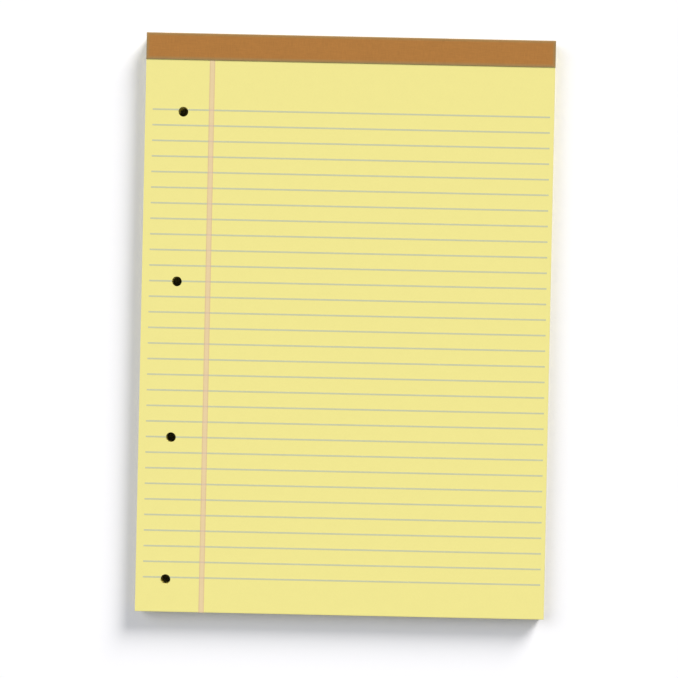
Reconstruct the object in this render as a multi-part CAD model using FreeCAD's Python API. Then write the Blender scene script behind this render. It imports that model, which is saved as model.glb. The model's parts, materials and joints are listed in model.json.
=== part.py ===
import FreeCAD, Part
import math
import os

# A4 pad of ruled, punched paper, bound at the head and lying on its chipboard back.
# Millimetres. +X runs across the leaves to the right, +Y towards the bound head, +Z up.
# The origin is on the underside, at the middle of the pad's overall width and length.

# Stack of leaves, trimmed square on all four sides
LEAF_WIDTH = 210.0
LEAF_LENGTH = 297.0
LEAF_COUNT = 80
LEAF_THICKNESS = 0.1

# Chipboard back, as large as a leaf
BOARD_THICKNESS = 1.0

# Binding tape, glued to the front, round the head and to the back, and trimmed with the pad
# Both flaps are measured from the tape's outer face at the head
TAPE_THICKNESS = 0.25
FRONT_FLAP = 13.8
BACK_FLAP = 15.0
HEAD_ROUND = 0.4

# Filing holes, in a row that is a little askew to the left edge
# Each gap between two holes is shorter than the gap above it by the step
HOLE_COUNT = 4
HOLE_DIAMETER = 5.1
HOLE_GAP_STEP = 7.1
FIRST_HOLE_FROM_HEAD = 40.3
FIRST_HOLE_FROM_EDGE = 19.6
LAST_HOLE_FROM_FOOT = 16.7
HOLE_ROW_SLANT_DEG = 1.0

# Print on the top leaf: feint rules, and a margin of two lines with a pale band between them
# The rules repeat down the leaf as long as the least gap stays below the last of them
INK_THICKNESS = 0.02
RULE_PITCH = 8.0
RULE_WIDTH = 0.8
FIRST_RULE_FROM_HEAD = 39.2
RULE_LEFT_GAP = 3.8
RULE_RIGHT_GAP = 2.2
RULE_LEAST_FOOT_GAP = 14.0
MARGIN_FROM_EDGE = 34.05
MARGIN_LINE_SPACING = 2.25
MARGIN_LINE_WIDTH = 0.5

# Flat wire staples under the tape, pressed flush into the leaves and into the board
STAPLE_COUNT = 3
STAPLE_PITCH = 78.0
STAPLE_FROM_HEAD = 6.5
STAPLE_CROWN = 12.0
STAPLE_TURNED_LEG = 4.8
WIRE_WIDTH = 0.7
WIRE_THICKNESS = 0.45
WIRE_BEND_RADIUS = 0.4

# Planes that the pieces share
LEFT_X = -LEAF_WIDTH / 2
RIGHT_X = LEAF_WIDTH / 2
OUTER_HEAD_Y = (LEAF_LENGTH + TAPE_THICKNESS) / 2
HEAD_Y = OUTER_HEAD_Y - TAPE_THICKNESS
FOOT_Y = HEAD_Y - LEAF_LENGTH
FRONT_FLAP_Y = OUTER_HEAD_Y - FRONT_FLAP
BACK_FLAP_Y = OUTER_HEAD_Y - BACK_FLAP
TAPE_SEAT_Z = TAPE_THICKNESS
STACK_BOTTOM_Z = BOARD_THICKNESS
STACK_TOP_Z = STACK_BOTTOM_Z + LEAF_COUNT * LEAF_THICKNESS
MARGIN_X = LEFT_X + MARGIN_FROM_EDGE

# What repeats along the leaf
HOLE_MEAN_GAP = (LEAF_LENGTH - FIRST_HOLE_FROM_HEAD - LAST_HOLE_FROM_FOOT) / (HOLE_COUNT - 1)
RULED_LENGTH = LEAF_LENGTH - FIRST_RULE_FROM_HEAD - RULE_LEAST_FOOT_GAP
RULE_COUNT = int(RULED_LENGTH / RULE_PITCH) + 1


def box_between(low, high):
    """A box from its lowest to its highest corner."""
    size = [high[i] - low[i] for i in range(3)]
    return Part.makeBox(size[0], size[1], size[2], FreeCAD.Vector(*low))


def round_head_edge(solid, z):
    """Roll over the edge that runs across the head of a solid at height z."""
    tolerance = TAPE_THICKNESS / 100
    edges = []
    for edge in solid.Edges:
        middle = edge.CenterOfMass
        if abs(middle.y - HEAD_Y) < tolerance and abs(middle.z - z) < tolerance:
            edges.append(edge)
    return solid.makeFillet(HEAD_ROUND, edges)


def hole_centres():
    """Centres of the filing holes, from the head to the foot."""
    from_head = FIRST_HOLE_FROM_HEAD
    middle_gap = (HOLE_COUNT - 2) / 2
    centres = []
    for index in range(HOLE_COUNT):
        drift = (from_head - FIRST_HOLE_FROM_HEAD) * math.tan(math.radians(HOLE_ROW_SLANT_DEG))
        x = LEFT_X + FIRST_HOLE_FROM_EDGE - drift
        centres.append((x, HEAD_Y - from_head))
        from_head += HOLE_MEAN_GAP + HOLE_GAP_STEP * (middle_gap - index)
    return centres


def punched(shape):
    """The shape with the filing holes cut right through the pad's height."""
    height = STACK_TOP_Z + INK_THICKNESS
    for x, y in hole_centres():
        punch = Part.makeCylinder(HOLE_DIAMETER / 2, 3 * height, FreeCAD.Vector(x, y, -height))
        shape = shape.cut(punch)
    return shape


def staple_bar(inset, radius):
    """A bar as wide as the wire, inset from the staple's outside, with rounded corners."""
    half = STAPLE_CROWN / 2 - inset
    low = (-half, 0, TAPE_SEAT_Z + inset)
    high = (half, WIRE_WIDTH, STACK_TOP_Z - inset)
    bar = box_between(low, high)
    corners = []
    for edge in bar.Edges:
        direction = edge.Vertexes[1].Point - edge.Vertexes[0].Point
        if abs(direction.y) > WIRE_WIDTH / 2:
            corners.append(edge)
    return bar.makeFillet(radius, corners)


def staple():
    """One staple: crown on top, a leg down each side, and both ends turned in below."""
    outside = staple_bar(0, WIRE_BEND_RADIUS + WIRE_THICKNESS)
    inside = staple_bar(WIRE_THICKNESS, WIRE_BEND_RADIUS)
    half_gap = STAPLE_CROWN / 2 - STAPLE_TURNED_LEG
    low = (-half_gap, 0, TAPE_SEAT_Z)
    high = (half_gap, WIRE_WIDTH, STACK_BOTTOM_Z + WIRE_THICKNESS)
    gap = box_between(low, high)
    return outside.cut(inside).cut(gap)


def staples():
    """The row of staples along the head, centred across the pad."""
    row = []
    for index in range(STAPLE_COUNT):
        x = (index - (STAPLE_COUNT - 1) / 2) * STAPLE_PITCH
        y = HEAD_Y - STAPLE_FROM_HEAD - WIRE_WIDTH / 2
        placed = staple()
        placed.translate(FreeCAD.Vector(x, y, 0))
        row.append(placed)
    return Part.makeCompound(row)


def sheet_block():
    """The leaves as one block, punched, with the staples' slots and a rolled head edge."""
    block = box_between((LEFT_X, FOOT_Y, STACK_BOTTOM_Z), (RIGHT_X, HEAD_Y, STACK_TOP_Z))
    block = round_head_edge(block, STACK_TOP_Z)
    return punched(block.cut(staples()))


def backing_board():
    """The board, punched with the leaves, with a seat pressed in where the tape lies."""
    board = box_between((LEFT_X, FOOT_Y, 0), (RIGHT_X, HEAD_Y, STACK_BOTTOM_Z))
    seat = box_between((LEFT_X, BACK_FLAP_Y, 0), (RIGHT_X, HEAD_Y, TAPE_SEAT_Z))
    board = round_head_edge(board.cut(seat), TAPE_SEAT_Z)
    return punched(board.cut(staples()))


def tape_bend(z, radius, start, end):
    """Quarter turn round the head in the plane of the left edge, from one angle to another."""
    points = []
    for angle in (start, (start + end) / 2, end):
        y = HEAD_Y - HEAD_ROUND + radius * math.cos(math.radians(angle))
        height = z + radius * math.sin(math.radians(angle))
        points.append(FreeCAD.Vector(LEFT_X, y, height))
    return Part.Arc(*points).toShape()


def binding_tape():
    """The tape's folded section, carried across the width of the pad."""
    outer_radius = HEAD_ROUND + TAPE_THICKNESS
    upper = STACK_TOP_Z - HEAD_ROUND
    lower = TAPE_SEAT_Z + HEAD_ROUND
    bends = [
        tape_bend(upper, outer_radius, 90, 0),
        tape_bend(lower, outer_radius, 0, -90),
        tape_bend(lower, HEAD_ROUND, -90, 0),
        tape_bend(upper, HEAD_ROUND, 0, 90),
    ]
    back_edge = [(BACK_FLAP_Y, 0), (BACK_FLAP_Y, TAPE_SEAT_Z)]
    front_edge = [(FRONT_FLAP_Y, STACK_TOP_Z), (FRONT_FLAP_Y, STACK_TOP_Z + TAPE_THICKNESS)]
    runs = [
        [bends[0].Vertexes[-1].Point, bends[1].Vertexes[0].Point],
        [bends[1].Vertexes[-1].Point] + [FreeCAD.Vector(LEFT_X, y, z) for y, z in back_edge]
        + [bends[2].Vertexes[0].Point],
        [bends[2].Vertexes[-1].Point, bends[3].Vertexes[0].Point],
        [bends[3].Vertexes[-1].Point] + [FreeCAD.Vector(LEFT_X, y, z) for y, z in front_edge]
        + [bends[0].Vertexes[0].Point],
    ]
    edges = list(bends)
    for run in runs:
        for start, end in zip(run, run[1:]):
            edges.append(Part.LineSegment(start, end).toShape())
    section = Part.Face(Part.Wire(Part.__sortEdges__(edges)))
    return section.extrude(FreeCAD.Vector(LEAF_WIDTH, 0, 0))


def ink_stripe(left, right, low_y, high_y):
    """A film of ink on the top leaf."""
    low = (left, low_y, STACK_TOP_Z)
    high = (right, high_y, STACK_TOP_Z + INK_THICKNESS)
    return box_between(low, high)


def margin_stripe(left, right):
    """Ink down the margin between two offsets from its middle, from the tape to the foot."""
    return ink_stripe(MARGIN_X + left, MARGIN_X + right, FOOT_Y, FRONT_FLAP_Y)


def margin_lines():
    """The two lines of the margin."""
    inner = (MARGIN_LINE_SPACING - MARGIN_LINE_WIDTH) / 2
    outer = (MARGIN_LINE_SPACING + MARGIN_LINE_WIDTH) / 2
    return Part.makeCompound([margin_stripe(-outer, -inner), margin_stripe(inner, outer)])


def margin_band():
    """The pale band between the two lines of the margin."""
    half = (MARGIN_LINE_SPACING - MARGIN_LINE_WIDTH) / 2
    return margin_stripe(-half, half)


def feint_rules():
    """The rules across the leaf, open at the holes and where the margin crosses them."""
    half_margin = (MARGIN_LINE_SPACING + MARGIN_LINE_WIDTH) / 2
    crossing = margin_stripe(-half_margin, half_margin)
    rules = []
    for index in range(RULE_COUNT):
        y = HEAD_Y - FIRST_RULE_FROM_HEAD - index * RULE_PITCH
        left = LEFT_X + RULE_LEFT_GAP
        right = RIGHT_X - RULE_RIGHT_GAP
        rule = ink_stripe(left, right, y - RULE_WIDTH / 2, y + RULE_WIDTH / 2)
        rules.append(rule.cut(crossing))
    return punched(Part.makeCompound(rules))


PIECES = {
    "sheet_block": sheet_block,
    "backing_board": backing_board,
    "binding_tape": binding_tape,
    "staples": staples,
    "feint_rules": feint_rules,
    "margin_lines": margin_lines,
    "margin_band": margin_band,
}

os.makedirs("parts", exist_ok=True)
for name, make in PIECES.items():
    make().exportStep("parts/" + name + ".step")
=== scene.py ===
import json
import math

import bmesh
import bpy
import numpy as np
from mathutils import Matrix, Vector, noise


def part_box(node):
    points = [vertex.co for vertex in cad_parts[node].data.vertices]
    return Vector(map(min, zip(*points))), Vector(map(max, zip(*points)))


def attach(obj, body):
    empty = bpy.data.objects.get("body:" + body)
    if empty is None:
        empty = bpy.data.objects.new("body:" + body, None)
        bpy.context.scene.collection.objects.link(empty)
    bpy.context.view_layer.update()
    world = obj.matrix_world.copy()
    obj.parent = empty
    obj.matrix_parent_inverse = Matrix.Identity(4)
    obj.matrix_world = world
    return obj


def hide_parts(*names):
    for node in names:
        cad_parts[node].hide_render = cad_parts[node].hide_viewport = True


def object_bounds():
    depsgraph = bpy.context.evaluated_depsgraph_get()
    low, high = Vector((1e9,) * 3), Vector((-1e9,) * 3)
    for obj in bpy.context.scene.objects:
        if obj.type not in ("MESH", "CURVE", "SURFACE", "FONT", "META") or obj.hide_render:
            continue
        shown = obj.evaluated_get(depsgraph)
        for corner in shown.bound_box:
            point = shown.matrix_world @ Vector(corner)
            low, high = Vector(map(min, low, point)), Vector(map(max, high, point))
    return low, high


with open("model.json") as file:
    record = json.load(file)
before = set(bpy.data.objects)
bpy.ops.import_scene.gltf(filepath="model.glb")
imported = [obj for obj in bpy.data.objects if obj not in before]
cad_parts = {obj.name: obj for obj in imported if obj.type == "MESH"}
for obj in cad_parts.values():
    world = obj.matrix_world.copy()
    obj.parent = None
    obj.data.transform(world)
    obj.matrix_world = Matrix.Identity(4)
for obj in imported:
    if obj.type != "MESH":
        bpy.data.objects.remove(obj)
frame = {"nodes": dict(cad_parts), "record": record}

cad_low, cad_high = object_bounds()

# The leaves: eighty sheets of yellow writing paper, stacked, drilled for filing and cut square
# in one stroke. Each sheet lies a few hundredths of a millimetre off its neighbours, and the
# uppermost are drawn back a little at the head, where the tape is pulled round them.
LEAF_COUNT = 80
LEAF_GAP_SHARE = 0.12
LEAF_TRIM_INSET = 0.00010
LEAF_DRIFT = 0.00006
LEAF_TWIST = math.radians(0.012)
LEAF_SEED = 7
HOLE_RADIUS = 0.00255
HOLE_SIDES = 40
HEAD_ROLL = 0.0004
CROWN_LENGTH = 0.012
WIRE_WIDTH = 0.0007
WIRE_THICKNESS = 0.00045
SAME_POINT = 1e-6
PAPER_YELLOW = (0.872, 0.792, 0.277)
# The cut edges and hole walls take a darker copy of the paper's yellow, a painted shade.
SHADED_EDGE_YELLOW = (0.77, 0.69, 0.26)
LEAF_TONES = (0.80, 1.06)
PAPER_TOOTH = (2600, 2600, 2600)


def principled(name, roughness, specular):
    """A new material with one shader, and that shader's node."""
    material = bpy.data.materials.new(name)
    material.use_nodes = True
    shader = material.node_tree.nodes["Principled BSDF"]
    shader.inputs["Roughness"].default_value = roughness
    shader.inputs["Specular IOR Level"].default_value = specular
    return material, shader


def add_node(tree, kind, settings=(), **values):
    """A node of a kind with its settings and input values; a linked input is given as a socket."""
    node = tree.nodes.new(kind)
    for key, value in dict(settings).items():
        setattr(node, key, value)
    for key, value in values.items():
        socket = node.inputs[int(key[1:])] if key[0] == "_" else node.inputs[key.replace("_", " ")]
        if isinstance(value, bpy.types.NodeSocket):
            tree.links.new(value, socket)
        else:
            socket.default_value = value
    return node


def grain(tree, scale, detail=3.0, distortion=0.0, turn=(0.0, 0.0, 0.0)):
    """Noise from 0 to 1 with the given cells per metre along each axis of the object."""
    place = add_node(tree, "ShaderNodeTexCoord").outputs["Object"]
    cells = add_node(tree, "ShaderNodeMapping", Vector=place, Scale=scale, Rotation=turn)
    noise_node = add_node(tree, "ShaderNodeTexNoise", Vector=cells.outputs["Vector"], Scale=1.0,
                          Detail=detail, Distortion=distortion)
    return noise_node.outputs["Fac"]


def spread(tree, value, low, high, from_low=0.0, from_high=1.0):
    """The value taken from one range to another."""
    node = add_node(tree, "ShaderNodeMapRange", Value=value, From_Min=from_low, From_Max=from_high,
                    To_Min=low, To_Max=high)
    return node.outputs["Result"]


def counted(tree, operation, first, second=0.0):
    """A sum, product or comparison of two values."""
    return add_node(tree, "ShaderNodeMath", {"operation": operation}, _0=first, _1=second).outputs[0]


def shaded(tree, colour, factor):
    """A colour times a factor."""
    node = add_node(tree, "ShaderNodeVectorMath", {"operation": "SCALE"}, _0=colour, Scale=factor)
    return node.outputs["Vector"]


def finish_surface(tree, shader, colour, height, depth, strength, roughness=None):
    """Link a colour, a relief and a roughness into a material's shader."""
    tree.links.new(colour, shader.inputs["Base Color"])
    bump = add_node(tree, "ShaderNodeBump", Height=height, Distance=depth, Strength=strength)
    tree.links.new(bump.outputs["Normal"], shader.inputs["Normal"])
    if roughness is not None:
        tree.links.new(roughness, shader.inputs["Roughness"])


def paper_face():
    """Smooth yellow writing paper: faint cloudy formation, short fibres and a dry surface."""
    material, shader = principled("yellow_writing_paper", 0.82, 0.25)
    tree = material.node_tree
    clouds = spread(tree, grain(tree, (190, 190, 190), 4.0), 0.985, 1.015)
    fibres = spread(tree, grain(tree, (900, 3600, 900), 2.0, turn=(0, 0, 0.5)), 0.975, 1.025)
    crossing = spread(tree, grain(tree, (3600, 900, 900), 2.0, turn=(0, 0, 0.3)), 0.975, 1.025)
    felt = counted(tree, "MULTIPLY", clouds, counted(tree, "MULTIPLY", fibres, crossing))
    leaf_tone = add_node(tree, "ShaderNodeAttribute", {"attribute_name": "leaf_tone"}).outputs["Fac"]
    colour = shaded(tree, PAPER_YELLOW, counted(tree, "MULTIPLY", felt, leaf_tone))
    roughness = spread(tree, clouds, 0.78, 0.88, 0.985, 1.015)
    finish_surface(tree, shader, colour, grain(tree, PAPER_TOOTH), 0.000012, 0.35, roughness)
    return material


def paper_edge():
    """The cut edge of the stack: each leaf a little lighter or darker, with knife marks down it."""
    material, shader = principled("trimmed_paper_edge", 0.9, 0.15)
    tree = material.node_tree
    leaf_tone = add_node(tree, "ShaderNodeAttribute", {"attribute_name": "leaf_tone"}).outputs["Fac"]
    knife = spread(tree, grain(tree, (420, 420, 30)), 0.95, 1.04)
    bundles = spread(tree, grain(tree, (6, 6, 900)), 0.92, 1.06)
    tone = counted(tree, "MULTIPLY", leaf_tone, counted(tree, "MULTIPLY", knife, bundles))
    lint = grain(tree, (3000, 3000, 6000), 2.0)
    # The edge's base colour is a darker copy of the paper's yellow: painted shade on cut edges and hole
    # walls.
    finish_surface(tree, shader, shaded(tree, SHADED_EDGE_YELLOW, tone), lint, 0.00002, 0.5)
    return material


def box_corners(centre, width, length):
    """The four corners of a rectangle, anticlockwise."""
    x, y = centre
    return [(x + width / 2 * i, y + length / 2 * j) for i, j in ((-1, -1), (1, -1), (1, 1), (-1, 1))]


def cut_sheet(name, width, length, centre, holes, slots, thickness):
    """A flat sheet with round holes and square slots, its top at height 0."""
    outlines = [box_corners(centre, width, length)]
    outlines += [box_corners(middle, across, along) for middle, across, along in slots]
    angles = [2 * math.pi * k / HOLE_SIDES for k in range(HOLE_SIDES)]
    for x, y in holes:
        outlines.append([(x + HOLE_RADIUS * math.cos(a), y + HOLE_RADIUS * math.sin(a)) for a in angles])
    curve = bpy.data.curves.new(name, "CURVE")
    curve.dimensions = "2D"
    curve.fill_mode = "BOTH"
    curve.extrude = thickness / 2
    for outline in outlines:
        spline = curve.splines.new("POLY")
        spline.points.add(len(outline) - 1)
        for point, (x, y) in zip(spline.points, outline):
            point.co = (x, y, 0.0, 1.0)
        spline.use_cyclic_u = True
    maker = bpy.data.objects.new(name, curve)
    bpy.context.scene.collection.objects.link(maker)
    bpy.context.view_layer.update()
    mesh = bpy.data.meshes.new_from_object(maker.evaluated_get(bpy.context.evaluated_depsgraph_get()))
    bpy.data.objects.remove(maker)
    shape = bmesh.new()
    shape.from_mesh(mesh)
    bmesh.ops.translate(shape, verts=shape.verts, vec=(0, 0, -thickness / 2))
    bmesh.ops.remove_doubles(shape, verts=shape.verts, dist=SAME_POINT)
    bmesh.ops.recalc_face_normals(shape, faces=shape.faces)
    shape.to_mesh(mesh)
    shape.free()
    return mesh


def random_between(tree, kind, low, high, seed):
    """One random value for each point or copy, a number or a vector."""
    node = add_node(tree, "FunctionNodeRandomValue", {"data_type": kind}, Seed=seed)
    socket_type = {"FLOAT": "VALUE", "FLOAT_VECTOR": "VECTOR"}[kind]
    for socket, value in zip([s for s in node.inputs if s.type == socket_type], (low, high)):
        if isinstance(value, bpy.types.NodeSocket):
            tree.links.new(value, socket)
        else:
            socket.default_value = value
    return [s for s in node.outputs if s.type == socket_type][0]


def stack_tree():
    """Nodes that stack the given leaf downwards, each copy a little out of true and off tone."""
    tree = bpy.data.node_groups.new("leaf_stack", "GeometryNodeTree")
    for name, kind in (("Leaf", "Geometry"), ("Upper Leaf", "Object"), ("Count", "Int"),
                       ("Upper Count", "Int"), ("Pitch", "Float"), ("Drift", "Float"),
                       ("Twist", "Float"), ("Seed", "Int"), ("Paper", "Material"), ("Edge", "Material")):
        tree.interface.new_socket(name, in_out="INPUT", socket_type="NodeSocket" + kind)
    tree.interface.new_socket("Stack", in_out="OUTPUT", socket_type="NodeSocketGeometry")
    given = tree.nodes.new("NodeGroupInput").outputs
    index = add_node(tree, "GeometryNodeInputIndex").outputs[0]

    step = add_node(tree, "ShaderNodeCombineXYZ", Z=counted(tree, "MULTIPLY", given["Pitch"], -1.0))
    line = add_node(tree, "GeometryNodeMeshLine", Count=given["Count"], Offset=step.outputs[0])
    upper = add_node(tree, "GeometryNodeObjectInfo", Object=given["Upper Leaf"])
    both = add_node(tree, "GeometryNodeJoinGeometry")
    for leaf in (given["Leaf"], upper.outputs["Geometry"]):
        single = add_node(tree, "GeometryNodeGeometryToInstance", Geometry=leaf)
        tree.links.new(single.outputs[0], both.inputs[0])

    is_upper = counted(tree, "LESS_THAN", index, given["Upper Count"])
    least_twist = counted(tree, "MULTIPLY", given["Twist"], -1.0)
    turn = random_between(tree, "FLOAT", least_twist, given["Twist"], given["Seed"])
    placed = add_node(tree, "GeometryNodeInstanceOnPoints", Points=line.outputs[0],
                      Instance=both.outputs[0], Pick_Instance=True, Instance_Index=is_upper,
                      Rotation=add_node(tree, "ShaderNodeCombineXYZ", Z=turn).outputs[0])
    slip_seed = counted(tree, "ADD", given["Seed"], 1.0)
    slip = random_between(tree, "FLOAT_VECTOR", (-1, -1, 0), (1, 1, 0), slip_seed)
    moved = add_node(tree, "GeometryNodeTranslateInstances", Instances=placed.outputs[0],
                     Translation=shaded(tree, slip, given["Drift"]))

    tone_seed = counted(tree, "ADD", given["Seed"], 2.0)
    tone = random_between(tree, "FLOAT", *LEAF_TONES, tone_seed)
    is_top = counted(tree, "LESS_THAN", index, 0.5)
    evened = add_node(tree, "ShaderNodeMix", {"data_type": "FLOAT"}, Factor=is_top, A=tone, B=1.0)
    marked = add_node(tree, "GeometryNodeStoreNamedAttribute", {"data_type": "FLOAT", "domain": "INSTANCE"},
                      Geometry=moved.outputs[0], Name="leaf_tone", Value=evened.outputs[0])
    solid = add_node(tree, "GeometryNodeRealizeInstances", Geometry=marked.outputs[0])
    faced = add_node(tree, "GeometryNodeSetMaterial", Geometry=solid.outputs[0], Material=given["Paper"])
    normal = add_node(tree, "GeometryNodeInputNormal").outputs[0]
    upward = add_node(tree, "ShaderNodeSeparateXYZ", Vector=normal).outputs["Z"]
    flatness = counted(tree, "ABSOLUTE", upward)
    edged = add_node(tree, "GeometryNodeSetMaterial", Geometry=faced.outputs[0], Material=given["Edge"],
                     Selection=counted(tree, "LESS_THAN", flatness, 0.5))
    tree.links.new(edged.outputs[0], tree.nodes.new("NodeGroupOutput").inputs[0])
    return tree


def grown(name, mesh, tree, values):
    """An object whose plain mesh is what a node tree makes from a mesh with the given inputs."""
    maker = bpy.data.objects.new(name, mesh)
    bpy.context.scene.collection.objects.link(maker)
    modifier = maker.modifiers.new("nodes", "NODES")
    modifier.node_group = tree
    for item in tree.interface.items_tree:
        if item.item_type == "SOCKET" and item.in_out == "INPUT" and item.name in values:
            modifier[item.identifier] = values[item.name]
    bpy.context.view_layer.update()
    made = bpy.data.meshes.new_from_object(maker.evaluated_get(bpy.context.evaluated_depsgraph_get()))
    maker.modifiers.remove(modifier)
    maker.data = made
    made.name = name
    return maker


def draw_back_head(mesh, head_y, top_z):
    """Move the head edge of the uppermost leaves back along the tape's bend."""
    places = np.empty(len(mesh.vertices) * 3)
    mesh.vertices.foreach_get("co", places)
    places = places.reshape(-1, 3)
    above = np.clip(places[:, 2] - (top_z - HEAD_ROLL), 0.0, HEAD_ROLL)
    reach = head_y - HEAD_ROLL + np.sqrt(HEAD_ROLL ** 2 - above ** 2)
    places[:, 1] = np.minimum(places[:, 1], reach)
    mesh.vertices.foreach_set("co", places.ravel())
    mesh.update()


stack_low, stack_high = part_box("sheet_block")
bores = [mount["pos_m"][:2] for mount in frame["record"]["mounts"] if mount["kind"] == "bore"]
leaf_centre = ((stack_low.x + stack_high.x) / 2, (stack_low.y + stack_high.y) / 2)
leaf_width = stack_high.x - stack_low.x - 2 * LEAF_TRIM_INSET
leaf_length = stack_high.y - stack_low.y - 2 * LEAF_TRIM_INSET
leaf_pitch = (stack_high.z - stack_low.z) / LEAF_COUNT
leaf_thickness = leaf_pitch * (1 - LEAF_GAP_SHARE)
wire_low, wire_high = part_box("staples")
wire_y = (wire_low.y + wire_high.y) / 2
crown_xs = [wire_low.x + CROWN_LENGTH / 2, (wire_low.x + wire_high.x) / 2, wire_high.x - CROWN_LENGTH / 2]
crown_slots = [((x, wire_y), CROWN_LENGTH, WIRE_WIDTH) for x in crown_xs]
leg_offset = (CROWN_LENGTH - WIRE_THICKNESS) / 2
leg_slots = [((x + side * leg_offset, wire_y), WIRE_THICKNESS, WIRE_WIDTH)
             for x in crown_xs for side in (-1, 1)]
leaf_cut = (leaf_width, leaf_length, leaf_centre, bores)
lower_leaf = cut_sheet("lower_leaf", *leaf_cut, leg_slots, leaf_thickness)
upper_leaf = cut_sheet("upper_leaf", *leaf_cut, crown_slots, leaf_thickness)
upper_pattern = bpy.data.objects.new("upper_leaf", upper_leaf)
leaves = grown("leaf_stack", lower_leaf, stack_tree(), {
    "Upper Leaf": upper_pattern,
    "Count": LEAF_COUNT,
    "Upper Count": math.ceil(WIRE_THICKNESS / leaf_pitch),
    "Pitch": leaf_pitch,
    "Drift": LEAF_DRIFT,
    "Twist": LEAF_TWIST,
    "Seed": LEAF_SEED,
    "Paper": paper_face(),
    "Edge": paper_edge(),
})
leaves.data.transform(Matrix.Translation((0, 0, stack_high.z)))
draw_back_head(leaves.data, stack_high.y, stack_high.z)
bpy.data.objects.remove(upper_pattern)
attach(leaves, "root")
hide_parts("sheet_block")

# The feint rules: thin lines of pale blue-green ink laid on the top leaf by a ruling machine,
# a little uneven where the pen ran dry. They stop short of both side edges.
FEINT_INK = (0.568, 0.585, 0.385)
INK_ROUGHNESS = 0.75
INK_SPECULAR = 0.25


def surfaced(node, material):
    """Put a material on a piece that is shown just as it was constructed."""
    slots = frame["nodes"][node].data.materials
    slots.clear()
    slots.append(material)


feint, feint_shader = principled("feint_ink", INK_ROUGHNESS, INK_SPECULAR)
ink_tree = feint.node_tree
flow = spread(ink_tree, grain(ink_tree, (160, 160, 160), 4.0), 0.96, 1.04)
speckle = spread(ink_tree, grain(ink_tree, (3200, 3200, 3200), 2.0), 0.96, 1.04)
ink = shaded(ink_tree, FEINT_INK, counted(ink_tree, "MULTIPLY", flow, speckle))
finish_surface(ink_tree, feint_shader, ink, grain(ink_tree, PAPER_TOOTH), 0.00001, 0.3)
surfaced("feint_rules", feint)

# The margin: two lines of thin red ink down the left of the leaf with a paler tint between
# them, printed over the feint, which shows through a little where they cross.
MARGIN_INK = (0.750, 0.552, 0.300)
MARGIN_TINT = (0.805, 0.622, 0.350)
CROSSING_DARKENING = (0.88, 0.88, 1.12)
RULE_PITCH = 0.008
RULE_WIDTH = 0.0008


def blended(tree, factor, first, second):
    """A colour between two others."""
    node = add_node(tree, "ShaderNodeMix", {"data_type": "RGBA"}, _0=factor)
    for socket, value in zip([s for s in node.inputs if s.type == "RGBA"], (first, second)):
        if isinstance(value, bpy.types.NodeSocket):
            tree.links.new(value, socket)
        else:
            socket.default_value = (*value, 1.0)
    return [s for s in node.outputs if s.type == "RGBA"][0]


def margin_print(name, colour):
    """Red ink of one strength, darker where the feint runs under it."""
    material, shader = principled(name, INK_ROUGHNESS, INK_SPECULAR)
    tree = material.node_tree
    rules_low, rules_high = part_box("feint_rules")
    place = add_node(tree, "ShaderNodeTexCoord").outputs["Object"]
    along = add_node(tree, "ShaderNodeSeparateXYZ", Vector=place).outputs["Y"]
    above_last = counted(tree, "SUBTRACT", along, rules_low.y)
    within = counted(tree, "FLOORED_MODULO", above_last, RULE_PITCH)
    on_rule = counted(tree, "LESS_THAN", within, RULE_WIDTH)
    below_first = counted(tree, "LESS_THAN", along, rules_high.y)
    above_foot = counted(tree, "GREATER_THAN", above_last, 0.0)
    crossed = counted(tree, "MULTIPLY", on_rule, counted(tree, "MULTIPLY", below_first, above_foot))
    uneven = spread(tree, grain(tree, (170, 170, 170), 4.0), 0.96, 1.04)
    spots = spread(tree, grain(tree, (3000, 3000, 3000), 2.0), 0.96, 1.04)
    strength = counted(tree, "MULTIPLY", uneven, spots)
    crossing = tuple(c * k for c, k in zip(colour, CROSSING_DARKENING))
    printed = shaded(tree, blended(tree, crossed, colour, crossing), strength)
    finish_surface(tree, shader, printed, grain(tree, PAPER_TOOTH), 0.00001, 0.3)
    return material


surfaced("margin_lines", margin_print("margin_ink", MARGIN_INK))
surfaced("margin_band", margin_print("margin_tint", MARGIN_TINT))

# The backing board: a sheet of grey-brown chipboard pressed from waste paper, cut and drilled
# with the leaves. Dark and pale fibres show all over it, and its cut edge shows the plies.
BOARD_BROWN = (0.34, 0.29, 0.22)
BOARD_FLECK_DARK = (0.12, 0.10, 0.08)
BOARD_FLECK_PALE = (0.62, 0.57, 0.48)


def chipboard():
    """Pressed waste paper: a cloudy brown ground with hairs of other papers lying in it."""
    material, shader = principled("grey_brown_chipboard", 0.92, 0.15)
    tree = material.node_tree
    cloudy = spread(tree, grain(tree, (90, 90, 90), 5.0), 0.86, 1.12)
    plies = spread(tree, grain(tree, (20, 20, 6000), 2.0), 0.9, 1.1)
    ground = shaded(tree, BOARD_BROWN, counted(tree, "MULTIPLY", cloudy, plies))
    hairs = grain(tree, (300, 2200, 900), 3.0, 1.5, (0, 0, 0.6))
    other_hairs = grain(tree, (2200, 300, 900), 3.0, 1.5, (0, 0, 0.2))
    darkened = blended(tree, spread(tree, hairs, 0.0, 0.8, 0.64, 0.74), ground, BOARD_FLECK_DARK)
    flecked = blended(tree, spread(tree, other_hairs, 0.0, 0.7, 0.66, 0.76), darkened, BOARD_FLECK_PALE)
    finish_surface(tree, shader, flecked, counted(tree, "ADD", hairs, other_hairs), 0.00005, 0.5)
    return material


surfaced("backing_board", chipboard())

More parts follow.
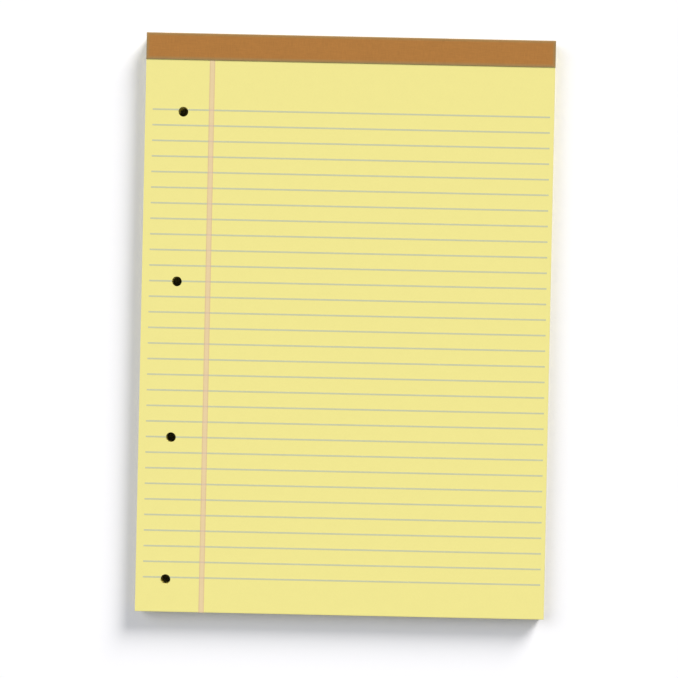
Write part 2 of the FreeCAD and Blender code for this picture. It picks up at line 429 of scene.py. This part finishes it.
# The staples: three lengths of flat galvanised wire driven through leaves and board and
# clinched behind. The tape covers them.
WIRE_ZINC = (0.58, 0.59, 0.61)
wire, wire_shader = principled("galvanised_wire", 0.38, 0.5)
wire_shader.inputs["Metallic"].default_value = 1.0
wire_tree = wire.node_tree
spangle = grain(wire_tree, (900, 900, 900), 4.0)
zinc = shaded(wire_tree, WIRE_ZINC, spread(wire_tree, spangle, 0.85, 1.1))
finish_surface(wire_tree, wire_shader, zinc, spangle, 0.00002, 0.4, spread(wire_tree, spangle, 0.3, 0.5))
surfaced("staples", wire)

# The binding tape: one strip of brown coated paper with a fine linen grain rolled into it,
# glued to the front, folded round the head and glued to the back, then trimmed with the pad.
TAPE_BROWN = (0.410, 0.176, 0.037)
# The next colour is painted shade, laid along the tape's fold, flap edges and ends.
TAPE_EDGE_SHADE = (0.305, 0.212, 0.085)
TAPE_CORE = (0.50, 0.34, 0.19)
TAPE_THICKNESS = 0.00025
TAPE_EDGE_ROUND = 0.00006
TAPE_BEND_STEPS = 10
TAPE_FLAP_STEPS = 16
TAPE_ACROSS_STEPS = 260
TAPE_DIP = 0.000018
TAPE_DIP_CELLS = 110
TAPE_SHARP_ANGLE = math.radians(35)
TAPE_CORE_SLOT = 1
EDGE_SHADE_REACH = 0.0018
tape_low, tape_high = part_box("binding_tape")
front_flap_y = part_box("margin_band")[1].y


def tape_run(depth, end_inset):
    """Points along the folded tape at a depth below its outside, front edge first, with normals."""
    radius = HEAD_ROLL + TAPE_THICKNESS - depth
    bend_y = tape_high.y - TAPE_THICKNESS - HEAD_ROLL
    upper_z = tape_high.z - TAPE_THICKNESS - HEAD_ROLL
    lower_z = tape_low.z + TAPE_THICKNESS + HEAD_ROLL
    run = [(y, tape_high.z - depth, 0.0, 1.0)
           for y in np.linspace(front_flap_y + end_inset, bend_y, TAPE_FLAP_STEPS)[:-1]]
    for bend_z, start, end in ((upper_z, math.pi / 2, 0.0), (lower_z, 0.0, -math.pi / 2)):
        for angle in np.linspace(start, end, TAPE_BEND_STEPS):
            across, up = math.cos(angle), math.sin(angle)
            run.append((bend_y + radius * across, bend_z + radius * up, across, up))
    run += [(y, tape_low.z + depth, 0.0, -1.0)
            for y in np.linspace(bend_y, tape_low.y + end_inset, TAPE_FLAP_STEPS)[1:]]
    return run


def tape_mesh():
    """The folded section carried across the pad, its outside dipping a little here and there."""
    outside = tape_run(0.0, TAPE_EDGE_ROUND)
    still = [(tape_low.y, tape_low.z + TAPE_EDGE_ROUND)]
    still += [(y, z) for y, z, _, _ in reversed(tape_run(TAPE_THICKNESS, 0.0))]
    still += [(front_flap_y, tape_high.z - TAPE_EDGE_ROUND)]
    shape = bmesh.new()
    rows = []
    for x in np.linspace(tape_low.x, tape_high.x, TAPE_ACROSS_STEPS + 1):
        row = []
        for y, z, out_y, out_z in outside:
            dip = TAPE_DIP * (0.5 + 0.5 * noise.noise(TAPE_DIP_CELLS * Vector((x, y, z))))
            row.append(shape.verts.new((x, y - out_y * dip, z - out_z * dip)))
        row += [shape.verts.new((x, y, z)) for y, z in still]
        rows.append(row)
    for row, following in zip(rows, rows[1:]):
        for k, vertex in enumerate(row):
            after = (k + 1) % len(row)
            shape.faces.new((vertex, following[k], following[after], row[after]))
    last = len(outside) - 1
    for row in (rows[0], rows[-1]):
        inner = row[last + 2:-1][::-1]
        cells = [(row[k], row[k + 1], inner[k + 1], inner[k]) for k in range(last)]
        cells += [(row[0], inner[0], row[-1]), (row[last], row[last + 1], inner[last])]
        for cell in cells:
            shape.faces.new(cell).material_index = TAPE_CORE_SLOT
    bmesh.ops.recalc_face_normals(shape, faces=shape.faces)
    mesh = bpy.data.meshes.new("binding_strip")
    shape.to_mesh(mesh)
    shape.free()
    mesh.shade_smooth()
    mesh.set_sharp_from_angle(angle=TAPE_SHARP_ANGLE)
    return mesh


def near(tree, value, edge):
    """1 at an edge of the tape, falling to 0 where the painted edge shade ends."""
    gap = counted(tree, "ABSOLUTE", counted(tree, "SUBTRACT", value, edge))
    return spread(tree, gap, 1.0, 0.0, 0.0, EDGE_SHADE_REACH)


def tape_coat():
    """Brown coating with a rolled linen grain, darker near its fold, flap edges and ends: painted shade."""
    material, shader = principled("brown_linen_tape", 0.6, 0.2)
    tree = material.node_tree
    place = add_node(tree, "ShaderNodeTexCoord").outputs["Object"]
    split = add_node(tree, "ShaderNodeSeparateXYZ", Vector=place)
    # Painted shade: the coat darkens within a short reach of the fold, the flap edges and both ends.
    edge_shade = near(tree, split.outputs["Y"], front_flap_y)
    for axis, edge in (("Y", tape_high.y), ("Y", tape_low.y), ("X", tape_low.x), ("X", tape_high.x)):
        edge_shade = counted(tree, "MAXIMUM", edge_shade, near(tree, split.outputs[axis], edge))
    warp = grain(tree, (2400, 260, 2400), 2.0)
    weft = grain(tree, (260, 2400, 260), 2.0)
    linen = counted(tree, "ADD", warp, weft)
    mottle = spread(tree, grain(tree, (70, 70, 70), 5.0), 0.96, 1.04)
    thread = spread(tree, linen, 0.93, 1.07, 0.7, 1.3)
    brown = blended(tree, edge_shade, TAPE_BROWN, TAPE_EDGE_SHADE)
    coat = shaded(tree, brown, counted(tree, "MULTIPLY", mottle, thread))
    finish_surface(tree, shader, coat, linen, 0.00003, 0.25, spread(tree, linen, 0.55, 0.68, 0.7, 1.3))
    return material


def tape_core():
    """The cut end of the tape, where the uncoated paper shows."""
    material, shader = principled("tape_cut_end", 0.85, 0.15)
    tree = material.node_tree
    fibre = grain(tree, (4000, 4000, 4000))
    core = shaded(tree, TAPE_CORE, spread(tree, fibre, 0.85, 1.12))
    finish_surface(tree, shader, core, fibre, 0.00002, 0.4)
    return material


tape = bpy.data.objects.new("binding_strip", tape_mesh())
bpy.context.scene.collection.objects.link(tape)
tape.data.materials.append(tape_coat())
tape.data.materials.append(tape_core())
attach(tape, "root")
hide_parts("binding_tape")

# The table: a plain white sheet far wider than the pad. It shows white to the camera away
# from the pad and keeps the pad's shadow. Where only the holes show it, it is painted dark: painted shade.
TABLE_SIDE = 8.0
TABLE_WHITE = (0.905, 0.901, 0.922)
TABLE_PAINTED_SHADE = (0.20, 0.19, 0.11)
TABLE_GLOW = 0.104
UNDER_PAD_INSET = 0.002


def under_pad(tree):
    """1 on the part of the table that the pad covers, and 0 outside it."""
    place = add_node(tree, "ShaderNodeTexCoord").outputs["Object"]
    split = add_node(tree, "ShaderNodeSeparateXYZ", Vector=place)
    covered = 1.0
    for axis in (0, 1):
        middle = (cad_low[axis] + cad_high[axis]) / 2
        reach = (cad_high[axis] - cad_low[axis]) / 2 - UNDER_PAD_INSET
        off = counted(tree, "ABSOLUTE", counted(tree, "SUBTRACT", split.outputs[axis], middle))
        covered = counted(tree, "MULTIPLY", counted(tree, "LESS_THAN", off, reach), covered)
    return covered


def seen_directly(tree):
    """1 for rays that the camera sees, straight or through gloss and glass, and 0 for lighting."""
    path = add_node(tree, "ShaderNodeLightPath").outputs
    seen = counted(tree, "MAXIMUM", path["Is Camera Ray"], path["Is Glossy Ray"])
    return counted(tree, "MAXIMUM", seen, path["Is Transmission Ray"])


sheet = bpy.data.meshes.new("table")
corners = [(x, y, cad_low.z) for x, y in box_corners((0.0, 0.0), TABLE_SIDE, TABLE_SIDE)]
sheet.from_pydata(corners, [], [(0, 1, 2, 3)])
table = bpy.data.objects.new("table", sheet)
bpy.context.scene.collection.objects.link(table)
white, white_shader = principled("white_table", 1.0, 0.0)
white_tree = white.node_tree
covered = under_pad(white_tree)
# Painted shade: the table takes a dark colour where the pad covers it, seen only through the holes.
table_colour = blended(white_tree, covered, TABLE_WHITE, TABLE_PAINTED_SHADE)
white_tree.links.new(table_colour, white_shader.inputs["Base Color"])
white_shader.inputs["Emission Color"].default_value = (1.0, 1.0, 1.0, 1.0)
glow = counted(white_tree, "MULTIPLY", seen_directly(white_tree), TABLE_GLOW)
glow = counted(white_tree, "MULTIPLY", glow, counted(white_tree, "SUBTRACT", 1.0, covered))
white_tree.links.new(glow, white_shader.inputs["Emission Strength"])
table.data.materials.append(white)

# The light: a low, warm lamp beyond the head and to the right throws the soft shadow to the
# left and below. A cooler, wider one from the left shades the right side a little, and a faint
# sky fills in. Together they light a level sheet as brightly as it is coloured.
SKY = (0.154, 0.163, 0.176)
LAMPS = {
    "key": {"from": (1.12, 1.81, 1.0), "width": 26, "share": 0.550, "colour": (1.0, 0.98, 0.95)},
    "fill": {"from": (-0.87, 0.46, 1.0), "width": 42, "share": 0.310, "colour": (0.97, 0.98, 1.0)},
}
for name, lamp in LAMPS.items():
    towards = Vector(lamp["from"]).normalized()
    light = bpy.data.lights.new(name, "SUN")
    light.color = lamp["colour"]
    light.energy = lamp["share"] * math.pi / towards.z
    light.angle = math.radians(lamp["width"])
    holder = bpy.data.objects.new(name, light)
    holder.rotation_mode = "QUATERNION"
    holder.rotation_quaternion = towards.to_track_quat("Z", "Y")
    bpy.context.scene.collection.objects.link(holder)
world = bpy.data.worlds.new("sky")
bpy.context.scene.world = world
world.use_nodes = True
world_tree = world.node_tree
sky = blended(world_tree, seen_directly(world_tree), SKY, (1.0, 1.0, 1.0))
world_tree.links.new(sky, world_tree.nodes["Background"].inputs["Color"])

# The camera looks straight down, turned so that the pad lies a little clockwise in the
# picture, and placed so that the pad's middle falls where it should in the frame.
IMAGE_SIDE = 678
METRES_PER_PIXEL = 0.0005131
PAD_MIDDLE_PIXEL = (344.87, 325.38)
PAD_TURN = math.radians(1.21)
CAMERA_HEIGHT = 0.75
SENSOR_MM = 36.0
view = bpy.data.cameras.new("camera")
view.sensor_width = SENSOR_MM
view.lens = SENSOR_MM * CAMERA_HEIGHT / (IMAGE_SIDE * METRES_PER_PIXEL)
camera = bpy.data.objects.new("camera", view)
bpy.context.scene.collection.objects.link(camera)
middle_pixel = (IMAGE_SIDE - 1) / 2
right = (middle_pixel - PAD_MIDDLE_PIXEL[0]) * METRES_PER_PIXEL
up = (PAD_MIDDLE_PIXEL[1] - middle_pixel) * METRES_PER_PIXEL
camera.location = Matrix.Rotation(PAD_TURN, 3, "Z") @ Vector((right, up, stack_high.z + CAMERA_HEIGHT))
camera.rotation_euler = (0.0, 0.0, PAD_TURN)
bpy.context.scene.camera = camera
bpy.context.scene.view_settings.view_transform = "Standard"
